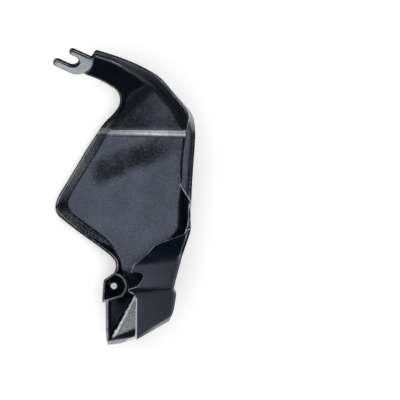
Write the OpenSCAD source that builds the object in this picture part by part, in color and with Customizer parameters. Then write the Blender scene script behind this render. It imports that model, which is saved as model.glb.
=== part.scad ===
// Motorcycle hand guard, clutch side, moulded in one piece.
// The guard lies on the flat outer face of its pan and opens upwards, the way it is seen from
// the rider's seat: X runs across the hand, Y along the handlebar towards the clamp fork,
// Z from the outer face towards the rider. The origin is the bar end screw hole, on the outer face.

/* [Shell] */
// Wall thickness of the moulding
wall_t = 2.6; // [2:0.1:3.2]
// Height of the outer side wall, from the outer face to the top of the lip
side_h = 50; // [44:1:56]
// Width of the lip along the outer side wall
lip_w = 9; // [6:0.5:12]
// Height of the turned up rim round the flare, over the pan floor
rim_h = 5.6; // [3:0.2:9]
// Height of the ledge where the arm drops into the pan
ledge_h = 3.4; // [2.6:0.2:5]

/* [Plan] */
// Reach of the flare to the left of the screw hole
flare_x = 58.8; // [50:0.5:66]
// Reach of the outer side to the right of the screw hole
side_x = 81.5; // [76:0.5:88]
// Distance from the screw hole up to the ledge
ledge_y = 154.6; // [145:0.5:165]
// Distance from the screw hole down to the tip of the bar end box
tip_y = 58.6; // [52:0.2:66]

/* [Arm] */
// Sideways place of the arm's end, at the foot of its outer wall
arm_x = -18.6; // [-26:0.2:-12]
// Lengthways place of the arm's end, at the foot of its outer wall
arm_y = 231.2; // [222:0.2:240]
// Rise of the arm's floor past the line where it bends up, per unit of run
arm_slope = 0.48; // [0.42:0.01:0.54]
// Turn of that line from the crosswise direction
bend_turn = 45; // [42:1:48]
// How softly the floor bends there
bend_soft = 6; // [3:0.5:9]
// Height of the outer wall over the floor, at the arm's end
arm_wall_h = 8; // [5:0.5:12]

/* [Fork] */
// Width of the clamp slot
slot_w = 11.8; // [10:0.1:12.4]
// Thickness of the fork
fork_t = 5.6; // [4.5:0.1:7]
// Lean of the fork's face from the outer face
fork_tilt = 37; // [34:1:40]
// Height of the slot's centre over the floor at the foot of the arm's outer wall
fork_lift = 6; // [5:0.5:7]
// Direction of the slot within the fork's face
slot_turn = -29; // [-36:1:-22]
// Width of the upper prong
prong_up_w = 6.3; // [5:0.1:8]
// Width of the lower prong
prong_low_w = 8.2; // [6:0.1:9]
// Length of the upper prong from the slot's centre
prong_up_l = 8.3; // [6.8:0.1:12]
// Length of the lower prong from the slot's centre
prong_low_l = 16.2; // [12:0.1:20]
// Radius of the fork's round head
head_r = 16.4; // [15:0.1:17.5]
// Clearance round the fork's face, where a clamp lies on it
seat_gap = 0.5; // [0.3:0.1:0.8]

/* [Screw cup] */
// Diameter of the screw hole
screw_d = 6.3; // [5.3:0.1:8.4]
// Outer radius of the cup's round side
cup_r = 13.3; // [11.5:0.1:14.5]
// Wall of the cup
cup_wall = 2; // [1.6:0.1:2.6]
// Thickness of the cup's floor
cup_floor = 3.4; // [2.6:0.1:5]
// Height of the cup's rim over the outer face
cup_h = 21.5; // [18:0.5:26]
// Rise of the cup's dished floor towards its wall
cup_dish = 2.8; // [1.6:0.2:3.6]

/* [Bar end box] */
// Height of the box's left rim over the outer face
box_rim_h = 21; // [17:0.5:21.2]
// Width of the box's open channel, from its outer side to the block
box_w = 29.6; // [26:0.2:33]
// How far the lower block stands proud
block_step = 2.4; // [1.2:0.1:3.6]
// How far its top falls off towards the outer side
block_fall = 3; // [1:0.2:4]
// Width of the groove above the lower block
groove_w = 3; // [2:0.1:4]
// Depth of the groove
groove_d = 1.5; // [0.8:0.1:2]
// Thickness of the wall that closes the tip
end_wall_t = 4; // [3:0.1:5.5]
// How far that wall bows outwards
end_bow = 1.6; // [0.4:0.1:2]

/* [Hidden] */
plastic = [0.17, 0.175, 0.19];
cut_over = 80;
eps = 0.01;

// Heights of the inner skin
floor_z = wall_t;
rim_z = floor_z + rim_h;
ledge_z = floor_z + ledge_h;
lip_z = side_h - wall_t;
block_z = lip_z + block_step;
block_low_z = block_z - block_fall;
wall_out = 0.62 * wall_t;
side_in = side_x - wall_out;
lip_free = side_x - lip_w;
wall_clear = side_in - 8.8;

// A point on the line where the arm's floor bends up
bend_at = [-5, 154];

// Height of the arm's floor: level by the outer wall, it bends up along the slanting line
function arm_floor(x, y) =
    let (d = (y - bend_at.y) * cos(bend_turn) - (x - bend_at.x) * sin(bend_turn))
    ledge_z + arm_slope * (d + norm([d, bend_soft])) / 2;

// Point on the arm's floor, or a little over it
function on_floor(x, y, lift = 0) = [x, y, arm_floor(x, y) + lift];

// Height of the floor at the arm's end
arm_z = arm_floor(arm_x, arm_y);

// Smooth curve through the knots: the value at t between knots b and c, with neighbours a and d
function curve(a, b, c, d, t) =
    b + 0.5 * t * ((c - a) + t * ((2 * a - 5 * b + 4 * c - d) + t * (3 * (b - c) + d - a)));

// All points of the curve through a list of knots, n steps to each stretch
function smooth(k, n) = [
    for (i = [0 : len(k) - 2])
        for (j = [0 : n - 1])
            curve(k[max(i - 1, 0)], k[i], k[i + 1], k[min(i + 2, len(k) - 1)], j / n),
    k[len(k) - 1]
];

// The key points of one section across the guard, from the inner rim round to the free edge:
// rim, foot of the rim's flange, border crease, foot of the side wall, shoulder, free edge
function section(rim, flange, crease, foot, shoulder, free) =
    let (
        reach = max(norm([crease.x - rim.x, crease.y - rim.y]), 1),
        s = min(0.12, 0.5 / reach),
        bend = [rim.x + s * (crease.x - rim.x), rim.y + s * (crease.y - rim.y), rim.z - flange]
    )
    [rim, bend, crease, foot, shoulder, free];

// The arm, from its end down to the ledge
ARM = [
    section(on_floor(arm_x - 9.6, arm_y - 19, 0.8), 0.3, on_floor(arm_x - 8, arm_y - 15.6),
        on_floor(arm_x - 0.2, arm_y - 0.6), [arm_x + 0.9, arm_y + 1.6, arm_z + 0.62 * arm_wall_h],
        [arm_x + 1.2, arm_y + 2, arm_z + arm_wall_h]),
    section(on_floor(-13.4, 206.6, 0.8), 0.4, on_floor(-11.5, 210.2),
        on_floor(-2.2, 226.2), [-1.2, 227, 43], [-0.6, 228, 48]),
    section(on_floor(-3.2, 201.2, 1), 0.5, on_floor(-0.6, 204.8),
        on_floor(12, 219.6), [14.1, 221.4, 44], [14.8, 222.3, 50]),
    section(on_floor(4.2, 195.7, 1), 0.5, on_floor(7.4, 198.2),
        on_floor(26.2, 211.4), [29.7, 214.2, 45], [30.6, 214.9, 51.4]),
    section(on_floor(7.6, 188.6, 1.2), 0.5, on_floor(11.4, 190.4),
        on_floor(39.6, 201.4), [45.2, 204.2, 45], [45.8, 205.4, 52.2]),
    section(on_floor(6.8, 179.4, 1.4), 0.5, on_floor(11.2, 180.2),
        on_floor(52, 187.6), [59.7, 189.8, 43.5], [58.2, 191.2, 52.4]),
    section(on_floor(0.8, 170.6, 1.6), 0.6, on_floor(6.6, 171.6),
        on_floor(61.4, 176.4), [70.7, 177.6, 43.5], [68.2, 179.3, 51.4]),
    section(on_floor(-7.6, 162, 2), 0.6, on_floor(0.6, 162.9),
        on_floor(67, 165), [77.8, 167.4, 45], [73.4, 169.6, 49]),
    section([-13.4, ledge_y - 0.2, rim_z + 1.2], 0.6, on_floor(-3.8, ledge_y + 1.4),
        on_floor(69.7, ledge_y + 0.6), [side_in - 0.5, ledge_y + 2.4, lip_z - 0.4],
        [lip_free, ledge_y + 1.5, lip_z])
];

// How far the round at the foot of the outer wall reaches from its corner, at each of those
// sections, and how far it and the round at the shoulder reach elsewhere
ARM_FOOT_REACH = [3, 5, 8, 11, 13, 13, 12, 9, 4];
foot_reach = 4;
shoulder_reach = 5.2;

// The pan, from the foot of the ledge down to the neck and the groove
PAN = [
    section([-16.2, ledge_y - 4.4, rim_z], 0.6, [-8.4, ledge_y - 4.2, floor_z],
        [69, ledge_y - 5.2, floor_z], [side_in - 0.2, ledge_y - 4.6, lip_z - 0.4],
        [lip_free - 0.9, ledge_y - 4.6, lip_z]),
    section([-25.2, 136.6, rim_z], 0.6, [-17, 136, floor_z],
        [67.2, 136, floor_z], [side_in - 0.9, 136, lip_z - 0.4], [lip_free - 3.2, 136, lip_z]),
    section([-35.5, 119.3, rim_z], 0.6, [-29.2, 119, floor_z],
        [65.5, 119, floor_z], [side_in - 2.2, 119, lip_z - 0.4], [lip_free - 4.7, 119, lip_z]),
    section([1.9 - flare_x + 11.2, 102.3, rim_z], 0.6, [-40.5, 102, floor_z],
        [64.2, 102, floor_z], [side_in - 3.4, 102, lip_z - 0.4], [lip_free - 6.1, 102, lip_z]),
    section([1.9 - flare_x + 3.6, 90, rim_z], 0.6, [-45.2, 90, floor_z],
        [63.4, 90, floor_z], [side_in - 4, 90, lip_z - 0.9], [56, 90, lip_z - 0.6]),
    section([1.9 - flare_x + 0.2, 80, rim_z], 0.6, [-46.4, 81, floor_z],
        [63.2, 80, floor_z], [side_in - 4.4, 80, lip_z - 3.4], [36, 80, lip_z - 3]),
    section([1.9 - flare_x + 2.2, 72.6, rim_z], 0.6, [-41.3, 73, floor_z],
        [63.2, 72, floor_z], [side_in - 4.6, 72, lip_z - 7], [21, 72, lip_z - 6.4]),
    section([-46.5, 65.4, rim_z], 0.6, [-30.8, 64.5, floor_z],
        [63.4, 64, floor_z], [side_in - 4.6, 64, lip_z - 10.6], [14, 64, lip_z - 10.2]),
    section([-36.6, 57.6, rim_z], 0.6, [-19.8, 56.5, floor_z],
        [63.8, 56, floor_z], [side_in - 4.6, 56, lip_z - 11.4], [12.2, 56, lip_z - 11]),
    section([-24.2, 48.6, rim_z + 0.6], 0.6, [-6.4, 46, floor_z],
        [58.2, 46, floor_z], [side_in - 7.2, 46, lip_z - 7.8], [12.2, 46, lip_z - 7.4]),
    section([-9.4, 38.1, rim_z + 2.4], 0.8, [3, 36, floor_z],
        [47.2, 36, floor_z], [side_in - 10.4, 36, lip_z - 4.2], [12.2, 36, lip_z - 3.8]),
    section([-0.6, 31, rim_z + 5], 1, [6.4, 29, floor_z],
        [41.2, 29, floor_z], [side_in - 12.2, 29, lip_z - 1.6], [12.2, 29, lip_z - 1.4]),
    section([4.2, 24, box_rim_h - 4], 2, [8, 23, floor_z],
        [37.7, 23, floor_z], [side_in - 13.9, 23, lip_z], [12.2, 23, lip_z + 0.1]),
    section([4, 16, box_rim_h - 1.4], 3, [9.2, 14, floor_z + 0.4],
        [32.7, 14, floor_z + 0.5], [side_in - 16.4, 14, lip_z], [12.2, 14, lip_z + 0.1]),
    section([-0.8, 7, box_rim_h - 0.8], 3.5, [11.7, 6, floor_z + 1],
        [28.2, 6, floor_z + 1.2], [side_in - 18.4, 6, lip_z], [12.2, 6, lip_z + 0.1]),
    section([-4, -1.5, box_rim_h - 0.5], 4, [15.7, -2, floor_z + 2.6],
        [23.2, -2, floor_z + 3], [side_in - 20, -2, lip_z], [12.2, -2, lip_z + 0.1])
];

// The lower block and the bar end box, down to the foot of the end wall
block_edge = box_w - 7.6;
BOX = [
    section([-5, -7, box_rim_h - 0.2], 4, [17.2, -7, floor_z + 5.6],
        [20.8, -7, floor_z + 6], [side_in - 17.6, -7, block_low_z], [12.7, -7, block_z + 0.2]),
    section([-5.4, -14, box_rim_h], 4, [17.8, -14, floor_z + 7.6],
        [19.8, -14, floor_z + 8], [side_in - 18.2, -13, block_low_z], [block_edge, -13.5, block_z + 0.2]),
    section([-5.4, -26, box_rim_h], 4, [12.7, -26, floor_z + 10.2],
        [14.7, -25.6, floor_z + 10.6], [side_in - 19.2, -19, block_low_z], [block_edge, -25, block_z + 0.2]),
    section([-5.4, -38, box_rim_h], 3.4, [6, -38, floor_z + 13],
        [8, -37.2, floor_z + 13.4], [side_in - 20.4, -24, block_low_z], [block_edge, -36, block_z + 0.2]),
    section([-5.2, 9.1 - tip_y, box_rim_h], 1.4, [-1.6, 9.6 - tip_y, box_rim_h - 2],
        [0.4, 10.8 - tip_y, box_rim_h - 1.6], [side_in - 22, 31.1 - tip_y, block_low_z],
        [block_edge, 13.6 - tip_y, block_z + 0.2])
];

// The wall that closes the tip: its inner skin is drawn straight from the rim to the block
END = [
    for (d = [0, end_wall_t - 0.6])
        section([-4.6, 3.2 - d - tip_y, box_rim_h], 0.5, [-3.2, 4.6 - d - tip_y, box_rim_h - 0.8],
            [-1.2, 6 - d - tip_y, box_rim_h - 0.6], [side_in - 23.6, 29.2 - d - tip_y, block_low_z],
            [block_edge - 0.6, 9 - d - tip_y, block_z + 0.2])
];

// Round of one corner of a section: n steps of a curve that leaves the corner's two sides
function corner(a, p, b, reach, n) =
    let (
        la = norm(a - p),
        lb = norm(b - p),
        s = p + (a - p) * min(reach, 0.45 * la) / la,
        e = p + (b - p) * min(reach, 0.45 * lb) / lb
    )
    [for (i = [0 : n]) let (t = i / n) (1 - t) * (1 - t) * s + 2 * t * (1 - t) * p + t * t * e];

// Points between two ends, ends left out
function between(a, b, n) = [for (i = [1 : n]) a + (b - a) * i / (n + 1)];

// One section's full row of points on the inner skin
function row(k, reach) =
    let (
        c1 = corner(k[0], k[1], k[2], 2.5, 2),
        c2 = corner(k[1], k[2], k[3], 4, 4),
        c3 = corner(k[2], k[3], k[4], reach, 6),
        c4 = corner(k[3], k[4], k[5], shoulder_reach, 5)
    )
    concat([k[0]], c1, between(c1[2], c2[0], 1), c2, between(c2[4], c3[0], 4), c3,
        between(c3[6], c4[0], 2), c4, between(c4[5], k[5], 2), [k[5]]);

ARM_KEYS = smooth(ARM, 4);
ARM_REACH = smooth(ARM_FOOT_REACH, 4);
ARM_ROWS = [for (i = [0 : len(ARM_KEYS) - 1]) row(ARM_KEYS[i], ARM_REACH[i])];
LOWER_ROWS = [for (k = concat(smooth(PAN, 2), smooth(BOX, 2))) row(k, foot_reach)];
END_ROWS = [for (k = END) row(k, foot_reach)];
ROWS = concat(ARM_ROWS, LOWER_ROWS, END_ROWS);
N = len(ROWS);
M = len(ROWS[0]);

// Unit normal of the skin at a grid point, away from the hand
function unit(v) = v / max(norm(v), eps);
function skin_normal(i, j) =
    unit(cross(
        ROWS[i][min(j + 1, M - 1)] - ROWS[i][max(j - 1, 0)],
        ROWS[min(i + 1, N - 1)][j] - ROWS[max(i - 1, 0)][j]));

OUTER = [for (i = [0 : N - 1]) [for (j = [0 : M - 1]) ROWS[i][j] + wall_t * skin_normal(i, j)]];
INNER = [
    for (i = [0 : N - 1])
        i < N - len(END_ROWS) ? ROWS[i]
            : [for (j = [0 : M - 1])
                let (t = j / (M - 1))
                ROWS[i][0] + (ROWS[i][M - 1] - ROWS[i][0]) * t - [0, end_bow * sin(180 * t), 0]]
];

// The lofted shell as one closed solid
module loft() {
    inner = [for (r = INNER) for (p = r) p];
    outer = [for (r = OUTER) for (p = r) p];
    o = N * M;
    polyhedron(
        points = concat(inner, outer),
        faces = concat(
            [for (i = [0 : N - 2]) for (j = [0 : M - 2])
                each let (a = i * M + j, b = a + 1, c = a + M, d = c + 1) [[a, b, c], [b, d, c]]],
            [for (i = [0 : N - 2]) for (j = [0 : M - 2])
                each let (a = o + i * M + j, b = a + 1, c = a + M, d = c + 1) [[a, c, b], [b, c, d]]],
            [for (i = [0 : N - 2])
                each let (a = i * M, c = a + M) [[a, c, a + o], [c, c + o, a + o]]],
            [for (i = [0 : N - 2])
                each let (a = i * M + M - 1, c = a + M) [[a, a + o, c], [c, a + o, c + o]]],
            [for (j = [0 : M - 2]) each [[j, o + j, j + 1], [j + 1, o + j, o + j + 1]]],
            [for (j = [0 : M - 2])
                each let (a = (N - 1) * M + j) [[a, a + 1, a + o], [a + 1, a + o + 1, a + o]]]
        )
    );
}

// Where the lip's end starts, and where it meets the outer wall
lip_end_y = 100.8;
lip_end_x = lip_free - 6.2;
lip_corner_y = 83;

// Plan outline of the stretch that is cut out of the lip and the near wall: it follows the lip's
// end, the near wall's free edge, the finger notch and the lower block's corner
TRIM = concat(
    [[lip_end_x, lip_end_y], [wall_clear, 92.6]],
    smooth([
        [wall_clear, 60], [side_in - 8.6, 53.8], [side_in - 14.1, 50.3], [50.7, 44.8], [41.8, 41],
        [34.8, 34], [26.5, 26.3], [20.1, 21.2], [18.4, 16.4]
    ], 3),
    smooth([
        [16.4, 13.8], [26.6, 13.8], [29.8, 11], [29, 7.4], [26.5, 3.4], [22.6, -0.2], [16, -2.3],
        [14.6, -4.4], [18.2, -6.9], [20.9, -8.6], [block_edge, -13]
    ], 3)
);

// Cuts away what the loft carries past the free edges of the near wall
module trim_near_wall() {
    translate([0, 0, lip_z - 17])
        linear_extrude(cut_over)
            polygon(concat([[cup_r - 6, lip_end_y]], TRIM, [[cup_r - 6, -13.4]]));
    translate([0, 0, lip_z - 5])
        linear_extrude(cut_over)
            polygon([[lip_end_x - 0.1, lip_end_y], [side_in - 2.6, lip_corner_y],
                [side_in - 2.6, lip_corner_y - 5], [lip_end_x - 0.1, lip_corner_y - 5]]);
}

// Cuts the dip in the outer wall past the lip's end, seen from the side
module trim_dip() {
    dip = smooth([
        [86, lip_z + 8], [84.4, lip_z], [81.6, lip_z - 4.6], [77, lip_z - 8.8],
        [70, lip_z - 11.6], [63, lip_z - 12], [57, lip_z - 11.6]
    ], 3);
    translate([wall_clear - 1, 0, 0])
        rotate([90, 0, 90])
            linear_extrude(20)
                polygon(concat(dip, [[57, cut_over], [86, cut_over]]));
}

// Groove between the near wall and the lower block
module trim_groove() {
    translate([block_edge - 8, -3.6, lip_z + wall_t + 0.1])
        rotate([90, 0, 92.2])
            linear_extrude(side_in)
                polygon([[-groove_w, groove_w], [groove_w, groove_w], [groove_w / 2, 0],
                    [0, -groove_d], [-groove_w / 2, 0]]);
}

// How far the fork's round head sits from the slot's centre, along the slot
head_shift = 4;

// Clamp fork, seen on its own face: a round head, two prongs and an open slot, grown by a margin
module fork_outline(margin = 0) {
    half = slot_w / 2 - margin;
    top = slot_w / 2 + prong_up_w + margin;
    bottom = -slot_w / 2 - prong_low_w - margin;
    round_r = head_r + margin;
    up_x = prong_up_w / 2 - prong_up_l;
    low_x = prong_low_w / 2 - prong_low_l;
    difference() {
        union() {
            intersection() {
                translate([head_shift, round_r + bottom]) circle(round_r, $fn = 96);
                translate([0, bottom - 1]) square([2 * round_r + head_shift, top - bottom + 1]);
            }
            translate([up_x, half]) square([prong_up_l + 6, top - half]);
            translate([up_x, (top + half) / 2]) circle((top - half) / 2, $fn = 48);
            translate([low_x, bottom]) square([prong_low_l + 1, -half - bottom]);
            translate([low_x, (bottom - half) / 2]) circle((-half - bottom) / 2, $fn = 48);
        }
        circle(half, $fn = 64);
        translate([-2 * prong_low_l, -half]) square([2 * prong_low_l, 2 * half]);
    }
}

// Moves what is drawn flat to the fork's face: its origin goes to the slot's centre there, which
// is placed from the foot of the arm's outer wall
module on_fork_face() {
    translate([arm_x - 21.9, arm_y - 7.6, arm_z + fork_lift])
        rotate([fork_tilt, 0, 0])
            rotate([0, 0, slot_turn])
                children();
}

module fork() {
    on_fork_face()
        translate([0, 0, -fork_t])
            linear_extrude(fork_t) fork_outline();
}

// Room kept free over the fork's face
module fork_clearance() {
    on_fork_face()
        translate([0, 0, -seat_gap])
            linear_extrude(cut_over / 4) fork_outline(seat_gap);
}

// Short wall that closes the arm's trough beside the fork
module arm_end_wall() {
    back = [8.2, 12.4];
    run = norm(back);
    translate([arm_x + 1.9, arm_y + 3.4, 0])
        rotate([0, 0, -90 - atan2(back.x, back.y)])
            rotate([90, 0, 0])
                translate([0, 0, -wall_t / 2])
                    linear_extrude(wall_t)
                        polygon([[0, arm_z - 1.5], [0, arm_z + arm_wall_h], [run, arm_z + 1],
                            [run, arm_z - 3.2]]);
}

// Outline of the screw cup, drawn in by a margin on every side
module cup_outline(inset) {
    intersection() {
        union() {
            circle(cup_r - inset, $fn = 96);
            translate([-3 * cup_r, -3 * cup_r]) square(3 * cup_r);
            translate([-cup_r, 0]) square([cup_r + 2.6 - inset, 1.2 * cup_r]);
        }
        rotate([0, 0, -4]) translate([inset - 10.4, -50]) square([50, 100]);
        rotate([0, 0, 34]) translate([-50, -80]) square([100, 90.9 - inset]);
        rotate([0, 0, 16.8]) translate([-50, inset - 12.4]) square([100, 50]);
    }
}

module screw_cup() {
    linear_extrude(cup_h) cup_outline(0);
}

// Flat land of the cup's dished floor round the hole, and its flat border along the wall
dish_land = 0.6;
dish_border = 0.2;

// The room in the cup, its dished floor with a flat land round the hole, and the screw hole
module cup_space() {
    in_r = cup_r - cup_wall;
    translate([0, 0, cup_floor + cup_dish]) linear_extrude(cut_over) cup_outline(cup_wall);
    intersection() {
        translate([0, 0, cup_floor]) {
            cylinder(h = cup_dish, r1 = screw_d / 2 + dish_land, r2 = in_r, $fn = 48);
            translate([0, 0, cup_dish - eps]) cylinder(h = 1, r = in_r, $fn = 48);
        }
        linear_extrude(cut_over) cup_outline(cup_wall + dish_border);
    }
    translate([0, 0, -1]) cylinder(h = cup_floor + 2, d = screw_d, $fn = 48);
}

module hand_guard() {
    color(plastic) {
        difference() {
            union() {
                difference() {
                    loft();
                    trim_near_wall();
                    trim_dip();
                    trim_groove();
                }
                screw_cup();
                arm_end_wall();
            }
            cup_space();
            fork_clearance();
        }
        fork();
    }
}

hand_guard();
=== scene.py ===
"""Looks of the moulded motorcycle hand guard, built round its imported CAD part.

The guard lies on the flat outer face of its pan and is seen from straight above. Sizes are in
millimetres, in the CAD frame, until a mesh is made: X runs across the hand, Y along the
handlebar towards the clamp fork, Z from the outer face towards the rider. The lofted shell is
drawn again here, finer than the CAD solid, and every free edge gets the round of a moulding.
"""

import math

import bmesh
import bpy
import numpy as np
from mathutils import Matrix, Vector


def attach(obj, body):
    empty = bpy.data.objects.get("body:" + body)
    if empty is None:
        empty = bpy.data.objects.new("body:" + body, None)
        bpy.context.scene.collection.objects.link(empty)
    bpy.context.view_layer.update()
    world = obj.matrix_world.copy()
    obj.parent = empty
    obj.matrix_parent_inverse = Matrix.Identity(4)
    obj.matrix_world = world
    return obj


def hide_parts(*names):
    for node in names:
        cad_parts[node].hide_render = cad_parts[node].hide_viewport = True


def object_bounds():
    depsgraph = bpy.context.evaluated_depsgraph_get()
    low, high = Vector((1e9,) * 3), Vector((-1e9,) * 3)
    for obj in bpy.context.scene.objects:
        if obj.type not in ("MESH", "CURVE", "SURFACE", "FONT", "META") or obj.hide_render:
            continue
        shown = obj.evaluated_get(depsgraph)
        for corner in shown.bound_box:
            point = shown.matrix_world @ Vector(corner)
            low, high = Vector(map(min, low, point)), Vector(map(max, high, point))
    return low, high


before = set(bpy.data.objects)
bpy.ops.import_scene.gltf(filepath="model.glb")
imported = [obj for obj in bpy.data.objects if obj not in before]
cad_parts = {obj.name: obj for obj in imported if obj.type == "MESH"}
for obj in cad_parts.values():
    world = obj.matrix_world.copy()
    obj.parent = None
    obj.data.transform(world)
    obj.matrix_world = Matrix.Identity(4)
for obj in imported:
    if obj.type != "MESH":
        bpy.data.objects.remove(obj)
cad_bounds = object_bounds()

MM = 0.001

# Shell
WALL_T = 2.6
SIDE_H = 50
LIP_W = 9
RIM_H = 5.4
LEDGE_H = 3.4
# How far the rounds at the flange's foot, the border's crease, and the foot and the shoulder of the
# outer wall reach from their corners
FLANGE_REACH = 2.5
CREASE_REACH = 0.8
FOOT_REACH = 3
SHOULDER_REACH = 5.2

# Plan
FLARE_X = 58.8
SIDE_X = 81.5
LEDGE_Y = 154.6
TIP_Y = 58.6

# Arm's end, at the foot of its outer wall
ARM_X, ARM_Y = -18.6, 231.2
ARM_WALL_H = 8
END_WALL_RUN = (8.2, 12.4)
END_WALL_X, END_WALL_Y = ARM_X + 1.9, ARM_Y + 3.4
# Rise of the arm's floor; a point on the line where it bends up, the line's turn from X, in
# radians, and how softly it bends
ARM_SLOPE = 0.48
BEND_X, BEND_Y = -5, 154
BEND_TURN = math.radians(45)
BEND_SOFT = 6

# Clamp fork
SLOT_W = 11.8
FORK_T = 5.6
FORK_LIFT = 6
SEAT_GAP = 0.5
FORK_TILT = 37
SLOT_TURN = -29
PRONG_UP_W, PRONG_UP_L = 6.3, 8.3
PRONG_LOW_W, PRONG_LOW_L = 8.2, 16.2
HEAD_R = 16.4
HEAD_SHIFT = 4
FORK_ROUND = 1.3

# Screw cup
SCREW_D = 6.3
CUP_R = 13.3
CUP_WALL = 2
CUP_FLOOR = 3.4
CUP_DISH = 2.8
DISH_LAND = 0.6
CUP_H = 21.5
# Inner edge beside the pan, and the cup's flat sides: each one's turn in degrees, the side that
# stays, and how far it lies from the screw
CUP_EDGE = 2.6
CUP_FLATS = [(-4, "x>", -10.4), (34, "y<", 10.9), (16.8, "y>", -12.4)]

# Bar end box
BOX_RIM_H = 21
BOX_W = 29.6
BLOCK_STEP = 2.4
BLOCK_FALL = 3
GROOVE_W, GROOVE_D = 3, 1.5
END_WALL_T = 4
END_BOW = 1.6

# Fineness of the drawn shell: steps from section to section, points on the four rounds across it
# and on the four flats that follow them, and the mesh's own
ARM_STEPS, PAN_STEPS, BOX_STEPS = 10, 8, 8
EDGE_STEPS = 8
ROUND_STEPS = (3, 6, 10, 8)
FLAT_POINTS = (5, 16, 12, 12)
DISH_STEPS = 48
VOXEL = 0.55
SMOOTH_TURNS = 4
KEEP_FACES = 0.26

# Heights and edges that follow from the sizes
FLOOR_Z = WALL_T
RIM_Z = FLOOR_Z + RIM_H
LEDGE_Z = FLOOR_Z + LEDGE_H
LIP_Z = SIDE_H - WALL_T
BLOCK_Z = LIP_Z + BLOCK_STEP
BLOCK_LOW_Z = BLOCK_Z - BLOCK_FALL
SIDE_IN = SIDE_X - 0.62 * WALL_T
LIP_FREE = SIDE_X - LIP_W
WALL_CLEAR = SIDE_IN - 8.8
BLOCK_EDGE = BOX_W - 7.6
FLARE_IN = 1.9 - FLARE_X
# Where the lip's end starts, and where it meets the outer wall
LIP_END_X, LIP_END_Y = LIP_FREE - 6.2, 100.8
LIP_CORNER_X, LIP_CORNER_Y = SIDE_IN - 2.6, 83
# How low the near wall and the lip's end are trimmed, and how far cutters reach past the part
TRIM_Z = LIP_Z - 17
LIP_TRIM_Z = LIP_Z - 5
CUT_OVER = 80


# ---------------------------------------------------------------- the shell's sections


def section(rim, flange, crease, foot, shoulder, free):
    """Key points across the guard: rim, foot of its flange, crease, foot and shoulder of the outer
    wall, free edge."""
    reach = max(math.hypot(crease[0] - rim[0], crease[1] - rim[1]), 1)
    s = min(0.12, 0.5 / reach)
    bend = (rim[0] + s * (crease[0] - rim[0]), rim[1] + s * (crease[1] - rim[1]), rim[2] - flange)
    return np.array([rim, bend, crease, foot, shoulder, free], float)


def arm_floor(x, y):
    """Height of the arm's floor: level by the outer wall, it bends up along a slanting line."""
    d = (y - BEND_Y) * math.cos(BEND_TURN) - (x - BEND_X) * math.sin(BEND_TURN)
    return LEDGE_Z + ARM_SLOPE * (d + math.hypot(d, BEND_SOFT)) / 2


def on_floor(x, y, lift=0):
    """Point on the arm's floor, or a little over it."""
    return x, y, arm_floor(x, y) + lift


ARM_Z = arm_floor(ARM_X, ARM_Y)

ARM = [
    section(on_floor(ARM_X - 9.6, ARM_Y - 19, 0.8), 0.3, on_floor(ARM_X - 8, ARM_Y - 15.6),
            on_floor(ARM_X - 0.2, ARM_Y - 0.6),
            (ARM_X + 0.9, ARM_Y + 1.6, ARM_Z + 0.62 * ARM_WALL_H),
            (ARM_X + 1.2, ARM_Y + 2, ARM_Z + ARM_WALL_H)),
    section(on_floor(-13.4, 206.6, 0.8), 0.4, on_floor(-11.5, 210.2),
            on_floor(-2.2, 226.2), (-1.2, 227, 43), (-0.6, 228, 48)),
    section(on_floor(-3.2, 201.2, 1), 0.5, on_floor(-0.6, 204.8),
            on_floor(12, 219.6), (14.1, 221.4, 44), (14.8, 222.3, 50)),
    section(on_floor(4.2, 195.7, 1), 0.5, on_floor(7.4, 198.2),
            on_floor(26.2, 211.4), (29.7, 214.2, 45), (30.6, 214.9, 51.4)),
    section(on_floor(7.6, 188.6, 1.2), 0.5, on_floor(11.4, 190.4),
            on_floor(39.6, 201.4), (45.2, 204.2, 45), (45.8, 205.4, 52.2)),
    section(on_floor(6.8, 179.4, 1.4), 0.5, on_floor(11.2, 180.2),
            on_floor(52, 187.6), (59.7, 189.8, 43.5), (58.2, 191.2, 52.4)),
    section(on_floor(0.8, 170.6, 1.6), 0.6, on_floor(6.6, 171.6),
            on_floor(61.4, 176.4), (70.7, 177.6, 43.5), (68.2, 179.3, 51.4)),
    section(on_floor(-7.6, 162, 2), 0.6, on_floor(0.6, 162.9),
            on_floor(67, 165), (77.8, 167.4, 45), (73.4, 169.6, 49)),
    section((-13.4, LEDGE_Y - 0.2, RIM_Z + 1.2), 0.6, on_floor(-3.8, LEDGE_Y + 1.4),
            on_floor(72, LEDGE_Y + 0.6), (SIDE_IN - 0.5, LEDGE_Y + 2.4, LIP_Z - 0.4),
            (LIP_FREE, LEDGE_Y + 1.5, LIP_Z)),
]
# How far the round at the foot of the outer wall reaches, at each section of the arm and the pan
ARM_FOOT_REACH = [3, 4, 5, 6, 7, 7, 7, 6, 4]
PAN_FOOT_REACH = [3, 3, 3, 4, 5, 6, 6, 6, 6, 5, 4, 4, 3, 3, 3, 3]

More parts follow.
